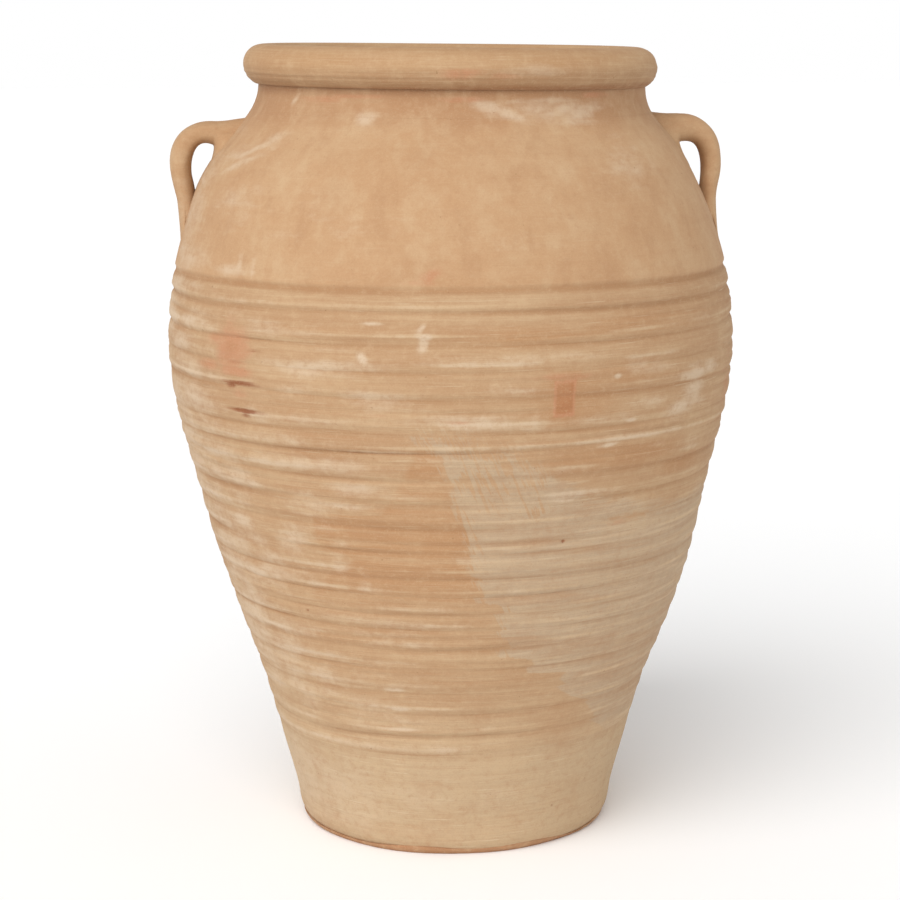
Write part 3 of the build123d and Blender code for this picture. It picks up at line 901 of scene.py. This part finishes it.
def terracotta(name, look):
    # earthenware with a matt, open surface: soft colour in level streaks, no shine, and fine grit
    material = bpy.data.materials.new(name)
    material.use_nodes = True
    tree = material.node_tree
    tree.nodes.clear()
    place = addNode(tree, "TexCoord")["Object"]
    x, y, z = addNode(tree, "SeparateXYZ", inputs={"Vector": place})
    spots = addNode(tree, "Attribute", {"attribute_name": "claySpots"})["Vector"]
    touchAndShading = addNode(tree, "Attribute", {"attribute_name": "clayTouchAndShading"})["Vector"]
    bloomSpot, blushSpot, warmSpot = addNode(tree, "SeparateXYZ", inputs={"Vector": spots})
    # the first is the rings' painted shade, going below 0 for a painted highlight on the ridges
    ringTintAndShading, limeDepth, scuffSpot = addNode(tree, "SeparateXYZ", inputs={"Vector": touchAndShading})

    forward = addNode(tree, "Math", times, {0: y, 1: -1.0})[0]
    angle = addNode(tree, "Math", {"operation": "ARCTAN2"}, {0: x, 1: forward})[0]
    arc = addNode(tree, "Math", times, {0: angle, 1: brush["radius"]})[0]
    unrolled = addNode(tree, "CombineXYZ", inputs={0: arc, 1: z})[0]
    slanted = addNode(
        tree, "VectorRotate", {"rotation_type": "Z_AXIS"},
        {"Vector": unrolled, "Angle": math.radians(brush["slope"])},
    )[0]
    noises = {}
    for label, (scale, detail, roughness) in patterns.items():
        along = slanted if label == "hatch" else place
        stretched = addNode(tree, "Mapping", inputs={"Vector": along, "Scale": scale})[0]
        noises[label] = addNode(
            tree, "TexNoise", {"noise_dimensions": "3D"},
            {"Vector": stretched, "Scale": 1.0, "Detail": detail, "Roughness": roughness},
        )[0]

    def stirred(value, **amounts):
        # a field with noises added to it, each about its own middle
        for label, amount in amounts.items():
            centred = addNode(tree, "Math", minus, {0: noises[label], 1: 0.5})[0]
            value = addNode(tree, "Math", timesPlus, {0: centred, 1: amount, 2: value})[0]
        return value

    def overlap(strength, *spans):
        # 0 until each field passes low, and full strength where all of them pass high
        for field, low, high in spans:
            strength = addNode(tree, "MapRange", smooth, {
                "Value": field, "From Min": low, "From Max": high, "To Min": 0.0, "To Max": strength,
            })[0]
        return strength

    onFront = (arc, *brush["rightEnd"])
    centred = addNode(tree, "Math", minus, {0: noises["hatch"], 1: 0.5})[0]
    sway = addNode(tree, "Math", times, {0: centred, 1: overlap(brush["sway"], onFront)})[0]
    rightward = overlap(brush["bloom"], (arc, *brush["leftEnd"]))
    bloom = addNode(tree, "Math", timesPlus, {0: sway, 1: rightward, 2: bloomSpot})[0]
    bloom = stirred(bloom, blotch=1.4, streak=0.7, mottle=0.5)
    # bloom is lessened in the rings and raised along the ridges by the painted ring shading
    bloom = addNode(tree, "Math", timesPlus, {0: ringTintAndShading, 1: -0.6, 2: bloom})[0]
    swayed = addNode(tree, "Math", plus, {0: limeDepth, 1: sway})[0]
    limeEdge = (stirred(swayed, blotch=14.0, fine=8.0), *brush["edge"])
    bare = overlap(
        brush["bareness"], (noises["hatch"], *brush["bareFrom"]), onFront, (limeDepth, *brush["bareReach"]),
        (z, *brush["bareAbove"]),
    )
    limeGap = stirred(warmSpot, blotch=1.6, cloud=1.2, streak=0.8)
    limeGap = addNode(tree, "Math", plus, {0: limeGap, 1: bare})[0]
    blush = stirred(blushSpot, blotch=0.9, mottle=0.6)
    warm = stirred(warmSpot, blotch=0.5, cloud=0.4)
    scuff = stirred(scuffSpot, fine=0.7, mottle=0.9)
    lowered = addNode(tree, "Math", minus, {0: z, 1: 0.002})[0]
    zoneHeight = addNode(tree, "Math", timesPlus, {0: noises["blotch"], 1: 0.004, 2: lowered})[0]

    def bothWays(label, pale, deep):
        # pale where a noise is high and deep where it is low
        return [
            ("pale", look[label], (noises[label], *pale)),
            ("deep", look[label], (noises[label], *deep)),
        ]

    layers = [  # tone, strength, and the spans over which a field brings it in
        *[
            (tone, strength, (zoneHeight, start * toMetres, end * toMetres))
            for tone, strength, start, end in look["zones"]
        ],
        *bothWays("cloud", (0.48, 0.68), (0.5, 0.32)),
        ("warm", look["warm"], (warm, 0.2, 0.85)),
        ("lime", look["lime"], limeEdge, (limeGap, 0.95, 0.5)),
        ("bloom", look["lime"] * 0.6, limeEdge, (noises["streak"], 0.5, 0.75)),
        *bothWays("band", (0.5, 0.7), (0.5, 0.32)),
        *bothWays("streak", (0.5, 0.72), (0.5, 0.3)),
        *bothWays("fine", (0.5, 0.76), (0.5, 0.26)),
        # painted shade in the rings, partly the clay's own darker colour there
        ("ring", look["ring"], (ringTintAndShading, 0.12, 0.95)),
        # a painted highlight along each ridge
        ("pale", look["crestHighlight"], (ringTintAndShading, -0.15, -1.1)),
        ("bloom", look["bloom"], (bloom, 0.2, 1.25)),
        ("blush", look["blush"], (blush, 0.35, 1.0)),
        ("smear", 0.75, (blush, 1.0, 1.5)),
        ("fleck", look["scratch"], (noises["scratch"], 0.68, 0.76)),
        *bothWays("wipe", (0.5, 0.7), (0.5, 0.3)),
        *bothWays("mottle", (0.5, 0.7), (0.5, 0.3)),
        ("scuff", 0.9, (scuff, 0.25, 1.1)),
        ("pore", 0.55, (noises["pit"], 0.77, 0.83)),
        ("deep", 0.24, (noises["grain"], 0.5, 0.75)),
        ("pale", 0.24, (noises["grain"], 0.5, 0.25)),
    ]
    colour = toLinear(clay[look["base"]])
    for tone, strength, *spans in layers:
        mix = {0: overlap(strength, *spans), 6: colour, 7: toLinear(clay[tone])}
        colour = addNode(tree, "Mix", {"data_type": "RGBA"}, mix)[2]

    relief = look["relief"]
    height = addNode(tree, "Math", times, {0: noises["fine"], 1: relief})[0]
    for label, amount in (("streak", relief * 1.6), ("grain", 0.12), ("mottle", 0.3), ("pit", -0.15)):
        height = addNode(tree, "Math", timesPlus, {0: noises[label], 1: amount, 2: height})[0]
    bump = addNode(tree, "Bump", inputs={"Strength": 0.8, "Distance": 0.0009, "Height": height})[0]
    rough = addNode(tree, "MapRange", inputs={
        "Value": noises["cloud"], "To Min": look["roughness"] - 0.08, "To Max": look["roughness"] + 0.08,
    })[0]
    shader = addNode(tree, "BsdfPrincipled", inputs={
        "Base Color": colour, "Roughness": rough, "Normal": bump, "IOR": 1.5, "Specular IOR Level": 0.25,
    })[0]
    addNode(tree, "OutputMaterial", inputs={"Surface": shader})
    return material


usualLook = {
    "crestHighlight": 0.0, "wipe": 0.2, "band": 0.1, "cloud": 0.3, "warm": 0.4, "streak": 0.06, "fine": 0.06,
    "lime": 0.0, "ring": 0.6, "bloom": 0.5, "blush": 0.5, "scratch": 0.2, "mottle": 0.25, "relief": 0.3,
    "zones": [],  # tone, strength, and the heights where it starts and is full
}
looks = {
    # thrown: ringed by the fingers, so it carries streaks, bloom that is raised on the ridges, a painted
    # highlight along them, and darker clay in the rings that is partly its own colour and partly painted
    # shade
    "thrownTerracotta": {
        "base": "thrown", "crestHighlight": 0.9, "wipe": 0.12, "band": 0.42, "warm": 0.85, "streak": 0.34,
        "fine": 0.22, "lime": 0.9, "bloom": 0.85, "blush": 0.8, "scratch": 0.3, "relief": 0.5,
        "roughness": 0.88,
        "zones": [("scraped", 0.6, 215, 125)],
    },
    # wiped with a wet cloth while it turned, so it is smooth and only cloudy, with painted shade under the
    # rim
    "wipedTerracotta": {
        "base": "wiped", "crestHighlight": 0.3, "wipe": 0.35, "band": 0.08, "warm": 0.5, "bloom": 0.7, "blush": 0.75,
        "scratch": 0.08, "mottle": 0.2, "relief": 0.15, "roughness": 0.84,
        # painted shade on the neck under the rim, darkest in the crease
        "zones": [("deep", 0.85, 718, 744), ("creaseShade", 0.55, 754, 762)],
    },
    # rolled over and pressed with a leather, tightest of all, with painted shade on its lower half and in
    # the crease under it
    "rolledTerracotta": {
        "base": "rolled", "band": 0.15, "streak": 0.22, "fine": 0.3, "bloom": 0.4, "blush": 0.85,
        "scratch": 0.15, "roughness": 0.82,
        "zones": [("shade", 0.5, 787, 772), ("creaseShade", 0.8, 767, 762)],
    },
    # scraped with a wooden rib, which leaves fine level scratches
    "scrapedTerracotta": {
        "base": "scraped", "crestHighlight": 0.3, "band": 0.12, "streak": 0.14, "fine": 0.24, "blush": 0.6,
        "scratch": 0.5, "mottle": 0.3, "roughness": 0.9,
    },
    # cut from the wheel with a wire, where the iron in the clay shows redder
    "cutTerracotta": {
        "base": "cut", "cloud": 0.4, "warm": 0.2, "streak": 0.1, "fine": 0.1, "mottle": 0.45,
        "roughness": 0.92,
    },
    # pulled by a wet hand, which draws the fine slip out along the strap
    "pulledTerracotta": {
        "base": "pulled", "cloud": 0.35, "warm": 0.6, "ring": 0.5, "bloom": 0.35, "scratch": 0.06,
        "relief": 0.12, "roughness": 0.85,
    },
}
print("clay")
clays = {name: terracotta(name, {**usualLook, **look}) for name, look in looks.items()}

pieces = [  # piece, CAD node it stands for, material, and a slot name that nothing here reads
    (walls["floorDisc"], "floor_disc", "cutTerracotta", "foot_terracotta"),
    (walls["footWall"], "foot_wall", "scrapedTerracotta", "foot_terracotta"),
    (walls["lowerBellyWall"], "lower_belly_wall", "thrownTerracotta", "belly_terracotta"),
    (walls["middleBellyWall"], "middle_belly_wall", "thrownTerracotta", "belly_terracotta"),
    (walls["upperBellyWall"], "upper_belly_wall", "thrownTerracotta", "belly_terracotta"),
    (walls["shoulderWall"], "shoulder_wall", "wipedTerracotta", "shoulder_terracotta"),
    (walls["neckCollar"], "neck_collar", "wipedTerracotta", "shoulder_terracotta"),
    (walls["rimRoll"], "rim_roll", "rolledTerracotta", "rim_terracotta"),
]
for side in handles:
    pieces.append((handles[side]["strap"], f"{side}_handle", "pulledTerracotta", "handle_terracotta"))
    for root in handle["roots"]:
        node = f"{side}_{root}_luting_pad"
        pieces.append((handles[side][root], node, "pulledTerracotta", "handle_terracotta"))
for piece, node, clayName, slotName in pieces:
    piece.data.materials.append(clays[clayName])
    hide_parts(node)
    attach(piece, "root")

print("studio")
studio = {
    "floor": "#FFFFFF",
    "floorSize": 60,
    "floorRoughness": 0.9,
    "horizonGlow": 1.0,
    "skyGlow": 0.5,
    "glowEnds": (0.24, 0.6),  # heights on the unit sphere of the sky
    "keyFrom": (-1.9, -3.3, 3.4),
    "keyPower": 2.1,
    "keySpread": 55,
}


def makeFloor():
    half = studio["floorSize"] / 2
    mesh = bpy.data.meshes.new("studioFloor")
    corners = [(-half, -half, 0), (half, -half, 0), (half, half, 0), (-half, half, 0)]
    mesh.from_pydata(corners, [], [(0, 1, 2, 3)])
    floor = bpy.data.objects.new("studioFloor", mesh)
    bpy.context.scene.collection.objects.link(floor)
    material = bpy.data.materials.new("paintedBoard")
    material.use_nodes = True
    shader = material.node_tree.nodes["Principled BSDF"]
    shader.inputs["Base Color"].default_value = toLinear(studio["floor"])
    shader.inputs["Roughness"].default_value = studio["floorRoughness"]
    shader.inputs["Specular IOR Level"].default_value = 0.0
    mesh.materials.append(material)


def makeLights():
    # one big soft light high on the left, and a sky that is white at the horizon and dimmer above
    light = bpy.data.lights.new("keyLight", "SUN")
    light.energy = studio["keyPower"]
    light.angle = math.radians(studio["keySpread"])
    lamp = bpy.data.objects.new("keyLight", light)
    lamp.rotation_mode = "QUATERNION"
    lamp.rotation_quaternion = Vector(studio["keyFrom"]).to_track_quat("Z", "Y")
    bpy.context.scene.collection.objects.link(lamp)
    world = bpy.data.worlds.new("whiteRoom")
    world.use_nodes = True
    tree = world.node_tree
    tree.nodes.clear()
    way = addNode(tree, "TexCoord")["Generated"]
    up = addNode(tree, "SeparateXYZ", inputs={"Vector": way})["Z"]
    low, high = studio["glowEnds"]
    glow = addNode(tree, "MapRange", smooth, {
        "Value": up, "From Min": low, "From Max": high,
        "To Min": studio["horizonGlow"], "To Max": studio["skyGlow"],
    })[0]
    background = addNode(tree, "Background", inputs={"Color": (1, 1, 1, 1), "Strength": glow})[0]
    addNode(tree, "OutputWorld", inputs={"Surface": background})
    bpy.context.scene.world = world


cameraPlace = {
    "distance": 2433,
    "height": 823,
    "down": 10.2,
    "roll": -0.36,
    "yaw": 0.04,
    "lens": 94.8,
}


def makeCamera():
    data = bpy.data.cameras.new("camera")
    data.lens = cameraPlace["lens"]
    data.sensor_width = 36
    camera = bpy.data.objects.new("camera", data)
    far, high = cameraPlace["distance"] * toMetres, cameraPlace["height"] * toMetres
    camera.location = (far * math.sin(frontAngle), -far * math.cos(frontAngle), high)
    look = Euler((math.radians(90 - cameraPlace["down"]), 0, frontAngle + math.radians(cameraPlace["yaw"])))
    roll = Euler((0, 0, math.radians(cameraPlace["roll"])))
    camera.rotation_euler = (look.to_matrix() @ roll.to_matrix()).to_euler()
    bpy.context.scene.collection.objects.link(camera)
    bpy.context.scene.camera = camera


makeFloor()
makeLights()
makeCamera()
bpy.context.scene.view_settings.view_transform = "Standard"
